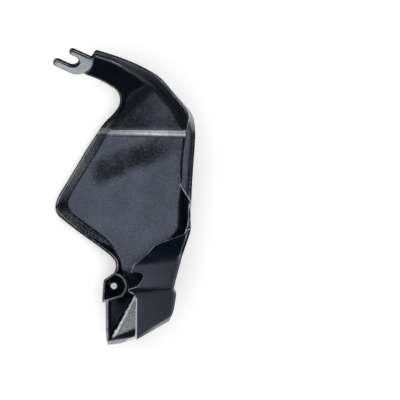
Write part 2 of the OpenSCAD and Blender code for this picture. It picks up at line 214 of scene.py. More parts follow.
PAN = [
    section((-16.2, LEDGE_Y - 4.4, RIM_Z), 0.6, (-7.4, LEDGE_Y - 4.2, FLOOR_Z),
            (71.6, LEDGE_Y - 5.2, FLOOR_Z), (SIDE_IN - 0.2, LEDGE_Y - 4.6, LIP_Z - 0.4),
            (LIP_FREE - 0.9, LEDGE_Y - 4.6, LIP_Z)),
    section((-25.2, 136.6, RIM_Z), 0.6, (-15.8, 136, FLOOR_Z),
            (70.4, 136, FLOOR_Z), (SIDE_IN - 0.9, 136, LIP_Z - 0.4), (LIP_FREE - 3.2, 136, LIP_Z)),
    section((-35.5, 119.3, RIM_Z), 0.6, (-26, 119, FLOOR_Z),
            (68.8, 119, FLOOR_Z), (SIDE_IN - 2.2, 119, LIP_Z - 0.4), (LIP_FREE - 4.7, 119, LIP_Z)),
    section((FLARE_IN + 11.2, 102.3, RIM_Z), 0.6, (-36.8, 102, FLOOR_Z),
            (70, 102, FLOOR_Z), (SIDE_IN - 3.4, 102, LIP_Z - 0.4), (LIP_FREE - 6.1, 102, LIP_Z)),
    section((FLARE_IN + 3.6, 90, RIM_Z), 0.6, (-43.6, 90, FLOOR_Z),
            (69.4, 90, FLOOR_Z), (SIDE_IN - 4, 90, LIP_Z - 0.9), (56, 90, LIP_Z - 0.6)),
    section((FLARE_IN + 0.2, 80, RIM_Z), 0.6, (-45.6, 81, FLOOR_Z),
            (69, 80, FLOOR_Z), (SIDE_IN - 4.4, 80, LIP_Z - 3.4), (36, 80, LIP_Z - 3)),
    section((FLARE_IN + 2.2, 72.6, RIM_Z), 0.6, (-41.3, 73, FLOOR_Z),
            (69, 72, FLOOR_Z), (SIDE_IN - 4.6, 72, LIP_Z - 7), (21, 72, LIP_Z - 6.4)),
    section((-46.5, 65.4, RIM_Z), 0.6, (-30.8, 64.5, FLOOR_Z),
            (68.6, 64, FLOOR_Z), (SIDE_IN - 4.6, 64, LIP_Z - 10.6), (14, 64, LIP_Z - 10.2)),
    section((-36.6, 57.6, RIM_Z), 0.6, (-19.8, 56.5, FLOOR_Z),
            (67, 56, FLOOR_Z), (SIDE_IN - 4.6, 56, LIP_Z - 11.4), (12.2, 56, LIP_Z - 11)),
    section((-24.2, 48.6, RIM_Z + 0.6), 0.6, (-6.4, 46, FLOOR_Z),
            (58.2, 46, FLOOR_Z), (SIDE_IN - 7.2, 46, LIP_Z - 7.8), (12.2, 46, LIP_Z - 7.4)),
    section((-9.4, 38.1, RIM_Z + 2.4), 0.8, (0.8, 36, FLOOR_Z),
            (47.2, 36, FLOOR_Z), (SIDE_IN - 10.4, 36, LIP_Z - 4.2), (12.2, 36, LIP_Z - 3.8)),
    section((-0.6, 31, RIM_Z + 5), 1, (3.8, 29, FLOOR_Z),
            (41.2, 29, FLOOR_Z), (SIDE_IN - 12.2, 30.4, LIP_Z - 2), (12.2, 26.6, LIP_Z - 2.2)),
    section((4.2, 24, BOX_RIM_H - 4), 2, (6.2, 23, FLOOR_Z),
            (37.7, 23, FLOOR_Z), (SIDE_IN - 13.6, 25, LIP_Z), (12.2, 20, LIP_Z + 0.1)),
    section((4, 16, BOX_RIM_H - 1.4), 3, (8.2, 14, FLOOR_Z + 0.4),
            (32.7, 14, FLOOR_Z + 0.5), (SIDE_IN - 16.4, 14, LIP_Z), (12.2, 14, LIP_Z + 0.1)),
    section((-0.8, 7, BOX_RIM_H - 0.8), 3.5, (11.7, 6, FLOOR_Z + 2.2),
            (28.2, 6, FLOOR_Z + 2.6), (SIDE_IN - 18.4, 6, LIP_Z), (12.2, 6, LIP_Z + 0.1)),
    section((-4, -1.5, BOX_RIM_H - 0.5), 4, (15.7, -2, FLOOR_Z + 4.6),
            (23.2, -2, FLOOR_Z + 5), (SIDE_IN - 20, -2, LIP_Z), (12.2, -2, LIP_Z + 0.1)),
]

BOX = [
    section((-5, -7, BOX_RIM_H - 0.2), 4, (18.2, -7, FLOOR_Z + 6.6),
            (20.2, -7, FLOOR_Z + 7), (SIDE_IN - 17.6, -7, BLOCK_LOW_Z), (12.7, -7, BLOCK_Z + 0.2)),
    section((-5.4, -14, BOX_RIM_H), 4, (15.4, -14, FLOOR_Z + 8.6),
            (17, -14, FLOOR_Z + 9), (SIDE_IN - 18.2, -13, BLOCK_LOW_Z),
            (BLOCK_EDGE, -13.5, BLOCK_Z + 0.2)),
    section((-5.4, -26, BOX_RIM_H), 4, (8.9, -26, FLOOR_Z + 10.8),
            (10.3, -25.6, FLOOR_Z + 11.2), (SIDE_IN - 19.2, -19, BLOCK_LOW_Z),
            (BLOCK_EDGE, -25, BLOCK_Z + 0.2)),
    section((-5.4, -38, BOX_RIM_H), 3.4, (2.2, -38, FLOOR_Z + 13),
            (3.6, -37.4, FLOOR_Z + 13.4), (SIDE_IN - 20.4, -24, BLOCK_LOW_Z),
            (BLOCK_EDGE, -36, BLOCK_Z + 0.2)),
    section((-5.2, 9.1 - TIP_Y, BOX_RIM_H), 1.4, (-1.6, 9.6 - TIP_Y, BOX_RIM_H - 2),
            (0.4, 10.8 - TIP_Y, BOX_RIM_H - 1.6), (SIDE_IN - 22, 31.1 - TIP_Y, BLOCK_LOW_Z),
            (BLOCK_EDGE, 13.6 - TIP_Y, BLOCK_Z + 0.2)),
]

# Last rows, which close the bar end: how far each lies past the box, and how far its top falls
END = [
    section((-4.6, 3.2 - d - TIP_Y, BOX_RIM_H), 0.5, (-3.2, 4.6 - d - TIP_Y, BOX_RIM_H - 0.8),
            (-1.2, 6 - d - TIP_Y, BOX_RIM_H - 0.6),
            (SIDE_IN - 23.6, 29.2 - 0.6 * d - TIP_Y, BLOCK_LOW_Z - fall),
            (BLOCK_EDGE - 0.6, 9 - 0.55 * d - TIP_Y, BLOCK_Z + 0.2 - fall))
    for d, fall in ((0, 0), (1.4, 0.4), (END_WALL_T - 1.4, 1.2), (END_WALL_T - 0.6, 2.4))
]

# Stretch that is cut out of the lip and the near wall, in plan: the near wall's free edge past
# the lip's end, then the finger notch and the lower block's corner
WALL_EDGE = [
    (WALL_CLEAR, 60), (SIDE_IN - 8.6, 53.8), (SIDE_IN - 14.1, 50.3), (50.7, 44.8), (41.8, 41),
    (34.8, 34), (26.5, 26.3), (20.1, 21.2), (18.4, 16.4),
]
NOTCH_EDGE = [
    (16.4, 13.8), (26.6, 13.8), (29.8, 11), (29, 7.4), (26.5, 3.4), (22.6, -0.2), (16, -2.3),
    (14.6, -4.4), (18.2, -6.9), (20.9, -8.6), (BLOCK_EDGE, -13),
]
# The dip in the outer wall past the lip's end, seen from the side
DIP = [
    (86, LIP_Z + 8), (84.4, LIP_Z), (81.6, LIP_Z - 4.6), (77, LIP_Z - 8.8),
    (70, LIP_Z - 11.6), (63, LIP_Z - 12), (57, LIP_Z - 11.6),
]


def smooth(knots, steps):
    """Points of the smooth curve, or surface, through a list of knots."""
    k = np.array(knots, float)
    out = []
    for i in range(len(k) - 1):
        a, b, c, d = k[max(i - 1, 0)], k[i], k[i + 1], k[min(i + 2, len(k) - 1)]
        for j in range(steps):
            t = j / steps
            cubic = 2 * a - 5 * b + 4 * c - d + t * (3 * (b - c) + d - a)
            out.append(b + 0.5 * t * ((c - a) + t * cubic))
    out.append(k[-1])
    return np.array(out)


def corner(a, p, b, reach, steps):
    """Round of one corner of all sections at once, as a list of points along it."""
    reach = np.broadcast_to(reach, len(p))[:, None]
    la = np.linalg.norm(a - p, axis=1, keepdims=True)
    lb = np.linalg.norm(b - p, axis=1, keepdims=True)
    s = p + (a - p) * np.minimum(reach, 0.45 * la) / la
    e = p + (b - p) * np.minimum(reach, 0.45 * lb) / lb
    times = np.linspace(0, 1, steps + 1)
    return [(1 - t) ** 2 * s + 2 * t * (1 - t) * p + t * t * e for t in times]


def between(a, b, count):
    """Points between two ends, ends left out."""
    return [a + (b - a) * i / (count + 1) for i in range(1, count + 1)]


def skin_rows(keys, foot_reach):
    """Rows of points on the inner skin from the sections' key points, as an array N x M x 3."""
    k = [keys[:, i] for i in range(6)]
    reaches = (FLANGE_REACH, CREASE_REACH, foot_reach, SHOULDER_REACH)
    rounds = [corner(*k[i:i + 3], reach, steps)
              for i, (reach, steps) in enumerate(zip(reaches, ROUND_STEPS))]
    columns = [k[0]]
    for this, following, count in zip(rounds, rounds[1:] + [[k[5]]], FLAT_POINTS):
        columns += this + between(this[-1], following[0], count)
    return np.stack(columns + [k[5]], axis=1)


def skin_normals(rows):
    """Unit normals of the skin, away from the hand."""
    n, m = rows.shape[:2]
    i, j = np.arange(n), np.arange(m)
    along = rows[:, np.minimum(j + 1, m - 1)] - rows[:, np.maximum(j - 1, 0)]
    across = rows[np.minimum(i + 1, n - 1)] - rows[np.maximum(i - 1, 0)]
    normal = np.cross(along, across)
    return normal / np.maximum(np.linalg.norm(normal, axis=2, keepdims=True), 1e-9)


# ---------------------------------------------------------------- mesh helpers


def mesh_object(name, verts, faces):
    mesh = bpy.data.meshes.new(name)
    mesh.from_pydata([tuple(v) for v in verts], [], faces)
    mesh.update()
    obj = bpy.data.objects.new(name, mesh)
    bpy.context.scene.collection.objects.link(obj)
    return obj


def turned(angle, axis):
    """Turn about an axis, in degrees."""
    return Matrix.Rotation(math.radians(angle), 4, axis)


def prism(name, outline, low, high, matrix=None):
    """Closed prism over an outline in plan, from one height to another, in mm."""
    n = len(outline)
    verts = [(x, y, low) for x, y in outline] + [(x, y, high) for x, y in outline]
    faces = [tuple(reversed(range(n))), tuple(range(n, 2 * n))]
    faces += [(i, (i + 1) % n, n + (i + 1) % n, n + i) for i in range(n)]
    obj = mesh_object(name, verts, faces)
    if matrix is not None:
        obj.data.transform(matrix)
    tidy_normals(obj)
    return obj


def tidy_normals(obj):
    """Turns all faces outwards."""
    bm = bmesh.new()
    bm.from_mesh(obj.data)
    bmesh.ops.recalc_face_normals(bm, faces=bm.faces)
    bm.to_mesh(obj.data)
    bm.free()


def apply_modifiers(obj):
    """Puts the object's modifiers into its mesh."""
    bpy.context.view_layer.update()
    evaluated = obj.evaluated_get(bpy.context.evaluated_depsgraph_get())
    mesh = bpy.data.meshes.new_from_object(evaluated)
    obj.modifiers.clear()
    obj.data = mesh


def cut(obj, *cutters, operation="DIFFERENCE"):
    """Takes the cutters' room out of the object, or all else with INTERSECT, and deletes them."""
    for cutter in cutters:
        modifier = obj.modifiers.new("cut", "BOOLEAN")
        modifier.operation = operation
        modifier.solver = "MANIFOLD"
        modifier.object = cutter
        apply_modifiers(obj)
        bpy.data.objects.remove(cutter)


def join(name, objects):
    """One object that holds the meshes of several."""
    bm = bmesh.new()
    for obj in objects:
        bm.from_mesh(obj.data)
        bpy.data.objects.remove(obj)
    mesh = bpy.data.meshes.new(name)
    bm.to_mesh(mesh)
    bm.free()
    joined = bpy.data.objects.new(name, mesh)
    bpy.context.scene.collection.objects.link(joined)
    return joined


# ---------------------------------------------------------------- the shell's parts


def loft():
    """The lofted shell as one closed solid."""
    arm, pan, box = smooth(ARM, ARM_STEPS), smooth(PAN, PAN_STEPS), smooth(BOX, BOX_STEPS)
    reach = np.concatenate([smooth(ARM_FOOT_REACH, ARM_STEPS), smooth(PAN_FOOT_REACH, PAN_STEPS),
                            np.full(len(box), FOOT_REACH)])
    open_rows = skin_rows(np.concatenate([arm, pan, box]), reach)
    end_rows = skin_rows(np.array(END), FOOT_REACH)
    rows = np.concatenate([open_rows, end_rows])
    n, m = rows.shape[:2]
    outer = rows + WALL_T * skin_normals(rows)
    inner = rows.copy()
    t = np.linspace(0, 1, m)[:, None]
    for i in range(len(open_rows), n):
        inner[i] = rows[i, 0] + (rows[i, -1] - rows[i, 0]) * t
        inner[i, :, 1] -= END_BOW * np.sin(math.pi * t[:, 0])
    verts = np.concatenate([inner.reshape(-1, 3), outer.reshape(-1, 3)])
    o = n * m
    faces = []
    for i in range(n - 1):
        for j in range(m - 1):
            a = i * m + j
            b, c, d = a + 1, a + m, a + m + 1
            faces += [(a, b, d, c), (o + a, o + c, o + d, o + b)]
        a, c = i * m, (i + 1) * m
        faces += [(a, c, o + c, o + a), (a + m - 1, o + a + m - 1, o + c + m - 1, c + m - 1)]
    for j in range(m - 1):
        a = (n - 1) * m + j
        faces += [(j, o + j, o + j + 1, j + 1), (a, a + 1, o + a + 1, o + a)]
    obj = mesh_object("loft", verts, faces)
    tidy_normals(obj)
    return obj


def near_wall_cutters():
    """What trims the loft: past the free edges of the near wall, the dip and the groove."""
    trim = ([(LIP_END_X, LIP_END_Y), (WALL_CLEAR, 92.6)] + list(smooth(WALL_EDGE, EDGE_STEPS))
            + list(smooth(NOTCH_EDGE, EDGE_STEPS)))
    main = prism("main_cutter", [(CUP_R - 6, LIP_END_Y)] + trim + [(CUP_R - 6, -13.4)],
                 TRIM_Z, TRIM_Z + CUT_OVER)
    lip_end = prism("lip_cutter", [(LIP_END_X - 0.1, LIP_END_Y), (LIP_CORNER_X, LIP_CORNER_Y),
                                   (LIP_CORNER_X, LIP_CORNER_Y - 5),
                                   (LIP_END_X - 0.1, LIP_CORNER_Y - 5)],
                    LIP_TRIM_Z, LIP_TRIM_Z + CUT_OVER)
    side_on = Matrix(((0, 0, 1, WALL_CLEAR - 1), (1, 0, 0, 0), (0, 1, 0, 0), (0, 0, 0, 1)))
    over_dip = [(DIP[-1][0], CUT_OVER), (DIP[0][0], CUT_OVER)]
    dip = prism("dip_cutter", list(smooth(DIP, EDGE_STEPS)) + over_dip, 0, 20, side_on)
    groove_at = (Matrix.Translation((BLOCK_EDGE - 8, -3.6, LIP_Z + WALL_T + 0.1))
                 @ turned(92.2, "Z") @ turned(90, "X"))
    groove = prism("groove_cutter",
                   [(-GROOVE_W, GROOVE_W), (GROOVE_W, GROOVE_W), (GROOVE_W / 2, 0),
                    (0, -GROOVE_D), (-GROOVE_W / 2, 0)], 0, SIDE_IN, groove_at)
    return main, lip_end, dip, groove


def arc(cx, cy, r, start, end, steps):
    """Points of an arc between two angles in degrees, both ends included."""
    return [(cx + r * math.cos(math.radians(a)), cy + r * math.sin(math.radians(a)))
            for a in np.linspace(start, end, steps + 1)]


def fork_outline(margin=0):
    """Outline of the clamp fork on its own face, grown by a margin, the slot's centre at 0, 0."""
    half = SLOT_W / 2 - margin
    top, bottom = SLOT_W / 2 + PRONG_UP_W + margin, -SLOT_W / 2 - PRONG_LOW_W - margin
    head_r = HEAD_R + margin
    head_y = head_r + bottom
    cut_angle = math.degrees(math.asin((top - head_y) / head_r))
    up_r, low_r = (top - half) / 2, (-half - bottom) / 2
    return (arc(HEAD_SHIFT, head_y, head_r, -90, cut_angle, 40)
            + arc(PRONG_UP_W / 2 - PRONG_UP_L, top - up_r, up_r, 90, 270, 20)
            + arc(0, 0, half, 90, -90, 32)
            + arc(PRONG_LOW_W / 2 - PRONG_LOW_L, bottom + low_r, low_r, 90, 270, 24))


FORK_PLACE = (Matrix.Translation((ARM_X - 21.9, ARM_Y - 7.6, ARM_Z + FORK_LIFT))
              @ turned(FORK_TILT, "X") @ turned(SLOT_TURN, "Z"))


def fork():
    """Clamp fork: flat plate with a round head, two prongs and an open slot, edges rounded."""
    plate = prism("fork", fork_outline(), -FORK_T, 0)
    bm = bmesh.new()
    bm.from_mesh(plate.data)
    rims = [e for e in bm.edges if abs(e.verts[0].co.z - e.verts[1].co.z) < 1e-6]
    bmesh.ops.bevel(bm, geom=rims, offset=FORK_ROUND, segments=4, profile=0.5, affect="EDGES")
    bm.to_mesh(plate.data)
    bm.free()
    plate.data.transform(FORK_PLACE)
    return plate


def fork_clearance():
    """Room kept free over the fork's face, for the clamp that lies on it."""
    return prism("fork_clearance", fork_outline(SEAT_GAP), -SEAT_GAP, CUT_OVER / 4, FORK_PLACE)


def arm_end_wall():
    """Short wall that closes the arm's trough beside the fork."""
    run = math.hypot(*END_WALL_RUN)
    turn = -90 - math.degrees(math.atan2(*END_WALL_RUN))
    place = (Matrix.Translation((END_WALL_X, END_WALL_Y, 0)) @ turned(turn, "Z")
             @ turned(90, "X"))
    side = [(0, ARM_Z - 1.5), (run, ARM_Z - 3.2), (run, ARM_Z + 1), (0, ARM_Z + ARM_WALL_H)]
    return prism("arm_end_wall", side, -WALL_T / 2, WALL_T / 2, place)


def clip(outline, angle, side, limit):
    """Part of an outline where, with the axes turned by angle, a coordinate stays past a limit."""
    c, s = math.cos(math.radians(angle)), math.sin(math.radians(angle))
    value = {"x>": lambda x, y: x * c + y * s - limit,
             "y>": lambda x, y: -x * s + y * c - limit,
             "y<": lambda x, y: limit - (-x * s + y * c)}[side]
    out = []
    for p, q in zip(outline, outline[1:] + outline[:1]):
        vp, vq = value(*p), value(*q)
        if vp >= 0:
            out.append(p)
        if vp * vq < 0:
            t = vp / (vp - vq)
            out.append((p[0] + (q[0] - p[0]) * t, p[1] + (q[1] - p[1]) * t))
    return out


def cup_outline(inset):
    """Outline of the screw cup, drawn in by a margin on every side."""
    r = CUP_R - inset
    edge = CUP_EDGE - inset
    far = 3 * CUP_R
    outline = ([(edge, 1.2 * CUP_R), (-far, 1.2 * CUP_R), (-far, -far), (0, -far)]
               + arc(0, 0, r, -90, math.degrees(math.acos(edge / r)), 40))
    for angle, side, limit in CUP_FLATS:
        outline = clip(outline, angle, side, limit - math.copysign(inset, limit))
    return outline


def cup_cutters():
    """The cup's room, its dish, kept inside the cup, and the screw hole."""
    dish_top = CUP_FLOOR + CUP_DISH
    space = prism("cup_space", cup_outline(CUP_WALL), dish_top, CUP_FLOOR + CUT_OVER)
    steps = DISH_STEPS
    wide = CUP_R - CUP_WALL
    rings = [(SCREW_D / 2 + DISH_LAND, CUP_FLOOR), (wide, dish_top), (wide, dish_top + 1)]
    verts = [(r * math.cos(2 * math.pi * i / steps), r * math.sin(2 * math.pi * i / steps), z)
             for r, z in rings for i in range(steps)]
    faces = [tuple(reversed(range(steps))), tuple(range(2 * steps, 3 * steps))]
    faces += [(a + i, a + (i + 1) % steps, a + steps + (i + 1) % steps, a + steps + i)
              for a in (0, steps) for i in range(steps)]
    dish = mesh_object("dish", verts, faces)
    tidy_normals(dish)
    cut(dish, prism("cup_inside", cup_outline(CUP_WALL), 0, CUP_H), operation="INTERSECT")
    hole = prism("screw_hole", arc(0, 0, SCREW_D / 2, 0, 352.5, 47), -1, CUP_FLOOR + 1)
    return space, dish, hole


def shell():
    """The whole moulding as one mesh with rounded edges."""
    body = loft()
    cut(body, *near_wall_cutters(), *cup_cutters())
    cup = prism("cup", cup_outline(0), 0, CUP_H)
    cut(cup, *cup_cutters())
    end_wall = arm_end_wall()
    cut(body, fork_clearance())
    cut(end_wall, fork_clearance())
    whole = join("guard_shell", [body, cup, fork(), end_wall])
    remesh = whole.modifiers.new("remesh", "REMESH")
    remesh.mode = "VOXEL"
    remesh.voxel_size = VOXEL
    soften = whole.modifiers.new("soften", "SMOOTH")
    soften.factor = 0.5
    soften.iterations = SMOOTH_TURNS
    thin = whole.modifiers.new("thin_out", "DECIMATE")
    thin.ratio = KEEP_FACES
    apply_modifiers(whole)
    whole.data.transform(Matrix.Scale(MM, 4))
    for polygon in whole.data.polygons:
        polygon.use_smooth = True
    mark_edges(whole.data)
    return whole


def mark_edges(mesh):
    """Stores how sharply the surface bends outwards at every vertex, in 1/mm, for rubbed edges and
    painted edge highlights.
    """
    count = len(mesh.vertices)
    place = np.empty(count * 3)
    mesh.vertices.foreach_get("co", place)
    place = place.reshape(-1, 3) / MM
    normal = np.empty(count * 3)
    mesh.vertices.foreach_get("normal", normal)
    normal = normal.reshape(-1, 3)
    pairs = np.empty(len(mesh.edges) * 2, int)
    mesh.edges.foreach_get("vertices", pairs)
    a, b = pairs.reshape(-1, 2).T
    step = place[b] - place[a]
    length_2 = np.maximum((step ** 2).sum(1), 1e-4)
    bend = np.einsum("ij,ij->i", normal[b] - normal[a], step) / length_2
    degree = np.bincount(a, minlength=count) + np.bincount(b, minlength=count)
    for _ in range(3):
        value = (np.bincount(a, bend, count) + np.bincount(b, bend, count)) / np.maximum(degree, 1)
        bend = (value[a] + value[b]) / 2
    attribute = mesh.attributes.new("edge_bend", "FLOAT", "POINT")
    attribute.data.foreach_set("value", value.astype(np.float32))


# ---------------------------------------------------------------- materials

PLASTIC = (0.0012, 0.003, 0.009, 1)
RUB_AND_HIGHLIGHT_COLOUR = (0.86, 0.88, 0.9, 1)

# How far each pale mark goes from the plastic's own colour to the pale one: sharp edges, rubbed and
# with painted highlights, the slope in the bar end box, scuffed and with painted light, its tip,
# the painted highlight on the ledge at its left end, the painted highlight on the fork's face, the
# painted highlight on the block's lower edge, and the outer corner between arm and lip, rubbed and
# with a painted highlight
EDGE_RUB_AND_HIGHLIGHT = 0.5
SLOPE_SCUFF_AND_LIGHT = 0.95
TIP_PALE = 0.5
LEDGE_HIGHLIGHT = 0.2
FORK_HIGHLIGHT = 0.12
END_HIGHLIGHT = 0.3
CORNER_RUB_AND_HIGHLIGHT = 0.34
# How many times brighter the ledge's painted highlight is at its right end
LEDGE_HIGHLIGHT_GAIN = 5

# Roughness of the plastic, from its glossiest clouds to its dullest, and what the pale marks
# (scuffs and painted highlights), the dull patch of the pan and the outer shoulder by the groove
# add to it
ROUGH_LOW, ROUGH_HIGH = 0.24, 0.3
ROUGH_RUBBED_AND_LIT = 0.5
ROUGH_PATCH = 0.38
ROUGH_SHOULDER = 0.22


class Nodes:
    """Small helper that adds nodes to a tree and links them."""

    def __init__(self, tree):
        self.tree = tree

    def add(self, kind, **settings):
        node = self.tree.nodes.new(kind)
        for key, value in settings.items():
            setattr(node, key, value)
        return node

    def feed(self, socket, value):
        if isinstance(value, bpy.types.NodeSocket):
            self.tree.links.new(value, socket)
        else:
            socket.default_value = value

    def math(self, operation, a, b=0.0, c=0.0, clamp=False):
        node = self.add("ShaderNodeMath", operation=operation, use_clamp=clamp)
        for socket, value in zip(node.inputs, (a, b, c)):
            self.feed(socket, value)
        return node.outputs[0]

    def vector(self, operation, a, b=None):
        """Vector Math node, of one vector or two."""
        node = self.add("ShaderNodeVectorMath", operation=operation)
        self.feed(node.inputs[0], a)
        if b is not None:
            self.feed(node.inputs[1], b)
        return node.outputs["Value" if operation == "DOT_PRODUCT" else "Vector"]

    def split(self, vector):
        node = self.add("ShaderNodeSeparateXYZ")
        self.feed(node.inputs[0], vector)
        return [node.outputs[axis] for axis in "XYZ"]

    def span(self, value, low, high, to_low=0.0, to_high=1.0):
        """Smooth step of a value from low to high."""
        node = self.add("ShaderNodeMapRange", interpolation_type="SMOOTHSTEP")
        self.feed(node.inputs["Value"], value)
        ends = {"From Min": low, "From Max": high, "To Min": to_low, "To Max": to_high}
        for name, number in ends.items():
            node.inputs[name].default_value = number
        return node.outputs["Result"]

    def noise(self, vector, scale, detail, roughness=0.5):
        node = self.add("ShaderNodeTexNoise")
        self.feed(node.inputs["Vector"], vector)
        node.inputs["Scale"].default_value = scale
        node.inputs["Detail"].default_value = detail
        node.inputs["Roughness"].default_value = roughness
        return node.outputs["Fac"]

    def chain(self, operation, values):
        out = values[0]
        for value in values[1:]:
            out = self.math(operation, out, value)
        return out

    def product(self, *factors):
        return self.chain("MULTIPLY", factors)

    def total(self, *terms):
        return self.chain("ADD", terms)

    def most(self, *values):
        return self.chain("MAXIMUM", values)

    def mix(self, factor, a, b):
        """Colour mixed from one to the other."""
        node = self.add("ShaderNodeMix", data_type="RGBA")
        self.feed(node.inputs["Factor"], factor)
        self.feed(node.inputs["A"], a)
        self.feed(node.inputs["B"], b)
        return node.outputs["Result"]


class Skin(Nodes):
    """Nodes that know the place on the guard, in mm, and the way its surface faces there."""

    def __init__(self, tree):
        super().__init__(tree)
        self.place = self.add("ShaderNodeTexCoord").outputs["Object"]
        per_metre = (1 / MM, 1 / MM, 1 / MM)
        self.x, self.y, self.z = self.split(self.vector("MULTIPLY", self.place, per_metre))
        normal = self.add("ShaderNodeNewGeometry").outputs["Normal"]
        self.nx, self.ny, self.nz = self.split(normal)
        # Sharpness of the mesh's bend, and the patterns that several kinds of wear share
        self.bend = self.add("ShaderNodeAttribute", attribute_name="edge_bend").outputs["Fac"]
        self.broken = self.span(self.noise(self.place, 90, 4), 0.34, 0.56, 0.35, 1)
        self.grit = self.noise(self.place, 520, 3, 0.7)
        self.cloud = self.noise(self.place, 34, 5, 0.6)
        self.mottle = self.noise(self.place, 430, 3, 0.65)

    def zone(self, gain=1, **fades):
        """Mask with soft borders. Each axis fades in from its first number to its second and, if it
        has four, out from its third to its fourth: x, y, z in mm, nx, ny, nz the normal's."""
        factors = []
        for axis, stops in fades.items():
            factors.append(self.span(getattr(self, axis), *stops[:2]))
            if len(stops) == 4:
                factors.append(self.span(getattr(self, axis), stops[3], stops[2]))
        return self.product(*factors, gain)

    def past(self, value, other, slope, offset):
        """Distance in mm past the line in plan at which value = slope * other + offset."""
        return self.math("SUBTRACT", value, self.math("MULTIPLY_ADD", other, slope, offset))


def new_material(name, nodes=Nodes):
    """A material, its helper and its shader."""
    material = bpy.data.materials.new(name)
    material.use_nodes = True
    return material, nodes(material.node_tree), material.node_tree.nodes["Principled BSDF"]


def outer_shoulder(n):
    """Mask of the outer wall's shoulder between the dip and the groove."""
    return n.product(n.zone(y=(-3, 0, 30, 33), z=(30, 40)),
                     n.span(n.past(n.x, n.y, 0.2, 0), 57.5, 59.5))


def edge_rub_and_highlight(n):
    """Sharp edges rubbed pale and given painted highlights, but less in some places, and painted
    highlight lines on the block and the box.
    """
    fork = n.zone(0.8, y=(208, 212), x=(-19.5, -22.5))
    groove = n.zone(y=(-7.5, -6, 2, 4), x=(26, 30))
    lip = n.zone(0.95, y=(100, 105, 152, 157), z=(30, 35))
    arm = n.product(n.zone(y=(152, 157)), n.span(n.x, 50, 30, 0.15, 0.8))
    cup = n.zone(0.6, z=(18, 20, 22.5, 23.5), y=(-17, -15.5, 13.5, 14.5), x=(14.5, 13.5))
    spared = n.most(fork, groove, lip, arm, cup, outer_shoulder(n))
    sharp = n.product(n.span(n.bend, 0.28, 0.5), n.broken, n.math("SUBTRACT", 1, spared))
    block = n.product(n.zone(1.3, y=(-10, -13), x=(18.5, 20, 24.5, 26.5), z=(43, 46)),
                      n.span(n.bend, 0.18, 0.36))
    block_line = n.zone(0.95, x=(21.2, 21.7, 23.3, 23.8), y=(-54, -51, -13, -10), z=(44, 46))
    box_rim = n.product(n.zone(0.8, x=(-4.8, -5.6), y=(-12.5, -14.5), z=(16, 18), nz=(0.2, 0.6)),
                        n.broken)
    return n.most(block, block_line, box_rim, sharp)


def slope_scuffs_and_light(n):
    """The slope beside the block: scuffed, and pale with painted light on its lit face, palest
    along its frayed crease as a painted highlight, and dark towards the tip.
    """
    fray = n.math("MULTIPLY_ADD", n.noise(n.place, 260, 3), 3, -1.5)
    past_crease = n.math("ADD", n.past(n.x, n.y, 0.53, 26.2), fray)
    slope = n.product(n.zone(y=(-6, -14), x=(24.5, 21.5), nx=(-0.3, -0.5), z=(46, 44)),
                      n.span(n.past(n.y, n.x, 0.404, -50.8), -1, 1.5),
                      n.span(past_crease, -1.2, 0.6))
    crease = n.span(past_crease, 2.8, 0.6)
    return n.product(slope, n.span(n.grit, 0.3, 0.72, 0.35, 1),
                     n.math("MULTIPLY_ADD", crease, 1.05, 0.54))


def pale_tip(n):
    """Top of the wall at the tip of the bar end box, paler in a speckled strip."""
    return n.product(n.zone(y=(-36, -42), nx=(-0.12, -0.3), x=(26, 20)),
                     n.span(n.past(n.y, n.x, 0.184, -53.9), 0.8, -0.8),
                     n.span(n.grit, 0.3, 0.62, 0.4, 1))


def ledge_highlight(n):
    """Painted highlight on the ledge across the pan, brighter towards the right and along a line in
    it.
    """
    across = n.past(n.y, n.x, -0.03, 0)
    from_core = n.math("ABSOLUTE", n.math("SUBTRACT", across, 153.1))
    return n.product(n.span(across, 149.2, 153.8), n.span(across, 158.5, 156.8),
                     n.zone(z=(30, 25), nz=(0.35, 0.6, 0.93, 0.995)),
                     n.span(n.noise(n.place, 240, 4), 0.25, 0.7, 0.6, 1),
                     n.span(from_core, 1.6, 0.4, 0.75, 1.35),
                     n.span(n.x, 0, 50, LEDGE_HIGHLIGHT, LEDGE_HIGHLIGHT_GAIN * LEDGE_HIGHLIGHT))


def block_edge_highlight(n):
    """Painted highlight on the lower edge of the block."""
    return n.product(n.zone(x=(26, 46), z=(40, 43)),
                     n.span(n.past(n.y, n.x, 0.579, -62), 0.5, -3),
                     n.span(n.grit, 0.3, 0.62, 0.6, 1))


def corner_rub_and_highlight(n):
    """Outer corner where the arm meets the lip, rubbed, with a painted highlight on its outward
    face.
    """
    outwards = n.total(n.nx, n.product(n.ny, 0.8))
    return n.product(n.span(outwards, 0.1, 0.5), n.zone(z=(36, 44), y=(150, 166, 190, 216)),
                     n.span(n.grit, 0.3, 0.62, 0.7, 1))


def fork_highlight(n):
    """Painted highlight on the fork's face, brightest at the longer prong."""
    return n.product(n.zone(y=(206, 210), nz=(0.7, 0.78)), n.span(n.x, -36, -62, 0, FORK_HIGHLIGHT))


def dull_patch(n):
    """Slanting patch of the pan that has lost its gloss."""
    slanting = n.total(n.product(n.x, -0.363), n.product(n.y, 0.932), -112)
    return n.product(n.span(n.math("ABSOLUTE", slanting), 17, 3),
                     n.zone(x=(-26, -10, 30, 72), y=(153, 147)),
                     n.span(n.cloud, 0.3, 0.55, 0.35, 1), n.span(n.mottle, 0.3, 0.7, 0.5, 1.2))


